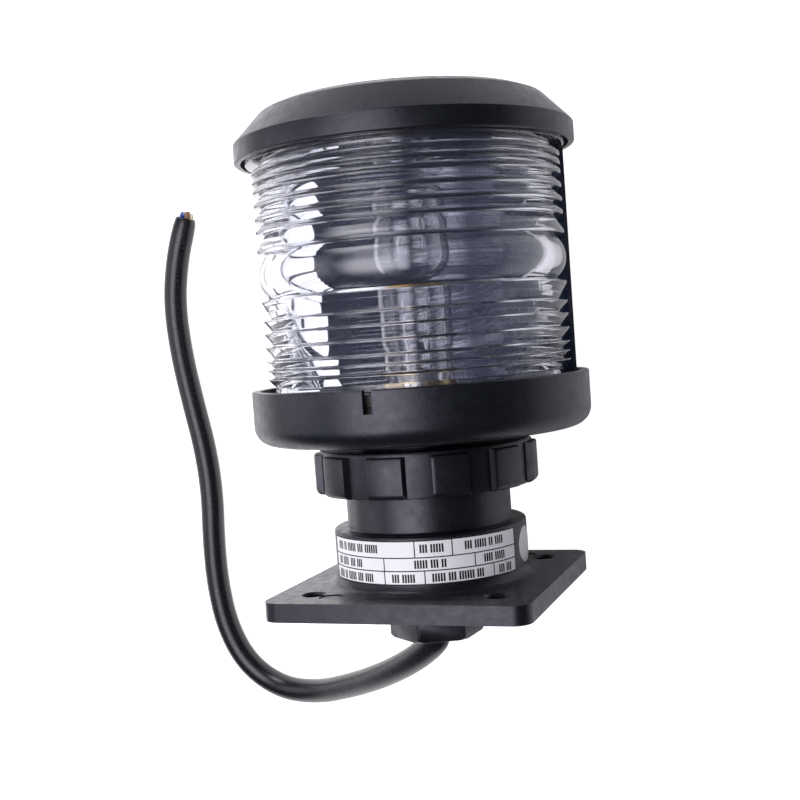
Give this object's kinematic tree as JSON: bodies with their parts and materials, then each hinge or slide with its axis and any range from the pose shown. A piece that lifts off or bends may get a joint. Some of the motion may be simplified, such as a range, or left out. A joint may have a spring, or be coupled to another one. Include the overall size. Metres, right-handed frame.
{
  "type": "navigation light",
  "caption": "Masthead navigation light: Fresnel lens with rear screen under a screw cap, on a swivelling union and a square screw-down foot with a cable gland.",
  "frame": {"origin": "centre of the foot's mounting face (its underside)", "axes": "+Y from the mounting face through the lens to the cap, the light's axis; +Z the way the light shines, up as it lies on its back; X along the foot's side"},
  "size_m": [0.1784, 0.2158, 0.11],
  "materials": {
    "black_plastic": "fine matt moulding grain",
    "lens_clear": "clear moulded lens, polished",
    "rubber_black": "smooth seal rubber",
    "cable_rubber": "semi-gloss cable sheath",
    "label_white": "satin printed film",
    "slip_nylon": "natural nylon",
    "steel_zinc": "bright zinc plate",
    "brass": "drawn brass",
    "nickel_brass": "nickel-plated brass",
    "spring_steel": "spring wire",
    "bakelite": "moulded insulator",
    "lamp_glass": "clear blown glass",
    "lamp_black_glass": "black vitrite",
    "solder": "dull solder",
    "tungsten": "drawn wire",
    "block_white": "off-white thermoplastic",
    "core_blue": "core insulation",
    "core_brown": "core insulation",
    "copper": "bare copper strands"
  },
  "bodies": {
    "foot": {"base_pedestal": "black_plastic", "rating_label": "label_white", "round_sticker": "label_white", "gland_body": "black_plastic", "gland_lock_nut": "black_plastic", "gland_seal": "rubber_black", "neck_o_ring": "rubber_black", "terminal_block": "block_white", "terminal_screws": "brass", "wire_blue_lower": "core_blue", "wire_brown_lower": "core_brown", "supply_cable": "cable_rubber", "cable_core_blue": "core_blue", "cable_core_brown": "core_brown", "copper_strands": "copper"},
    "gland_slip": {"gland_washer": "slip_nylon"},
    "gland_nut": {"gland_nut": "black_plastic"},
    "union_slip": {"union_washer": "slip_nylon"},
    "union_nut": {"union_nut": "black_plastic"},
    "head": {"clamp_ring": "black_plastic", "head_housing": "black_plastic", "lens_gasket": "rubber_black", "lens": "lens_clear", "back_screen": "black_plastic", "lamp_bracket": "steel_zinc", "bracket_screws": "steel_zinc", "holder_base": "bakelite", "holder_shell": "brass", "contact_springs": "spring_steel", "wire_blue_upper": "core_blue", "wire_brown_upper": "core_brown"},
    "cap_slip": {"cap_o_ring": "rubber_black"},
    "cap": {"top_cap": "black_plastic"},
    "lamp_contacts": {"contact_plungers": "brass"},
    "lamp": {"lamp_base": "nickel_brass", "lamp_insulator": "lamp_black_glass", "lamp_contacts": "solder", "lamp_glass": "lamp_glass", "lamp_stem": "lamp_glass", "filament_supports": "spring_steel", "filament": "tungsten"}
  },
  "joints": [
    {"name": "gland_nut_travel", "type": "slide", "parent": "foot", "child": "gland_slip", "axis": [0, -1, 0], "range_m": [0, 0.0015]},
    {"name": "gland_nut_turn", "type": "hinge", "parent": "gland_slip", "child": "gland_nut", "pos_m": [0, -0.0087, 0], "axis": [0, -1, 0], "range_deg": [0, 360]},
    {"name": "union_nut_travel", "type": "slide", "parent": "foot", "child": "union_slip", "axis": [0, 1, 0], "range_m": [0, 0.0025]},
    {"name": "union_nut_turn", "type": "hinge", "parent": "union_slip", "child": "union_nut", "pos_m": [0, 0.043, 0], "axis": [0, 1, 0], "range_deg": [0, 300]},
    {"name": "head_turn", "type": "hinge", "parent": "foot", "child": "head", "pos_m": [0, 0.05, 0], "axis": [0, 1, 0], "range_deg": [-170, 170]},
    {"name": "cap_lift", "type": "slide", "parent": "head", "child": "cap_slip", "axis": [0, 1, 0], "range_m": [0, 0.02]},
    {"name": "cap_turn", "type": "hinge", "parent": "cap_slip", "child": "cap", "pos_m": [0, 0.15, 0], "axis": [0, 1, 0], "range_deg": [0, 150]},
    {"name": "lamp_push", "type": "slide", "parent": "head", "child": "lamp_contacts", "axis": [0, -1, 0], "range_m": [0, 0.001], "stiffness_N_per_m": 1500, "springref_m": -0.002, "deforming": ["contact_springs"]},
    {"name": "lamp_turn", "type": "hinge", "parent": "lamp_contacts", "child": "lamp", "pos_m": [0, 0.0714, 0], "axis": [0, 1, 0], "range_deg": [0, 20]}
  ],
  "couplings": [
    {"joint": "gland_nut_turn", "follows": "gland_nut_travel", "rad_per_m": 4188.8},
    {"joint": "union_nut_turn", "follows": "union_nut_travel", "rad_per_m": 2094.4},
    {"joint": "cap_turn", "follows": "cap_lift", "rad_per_m": 130.9}
  ]
}
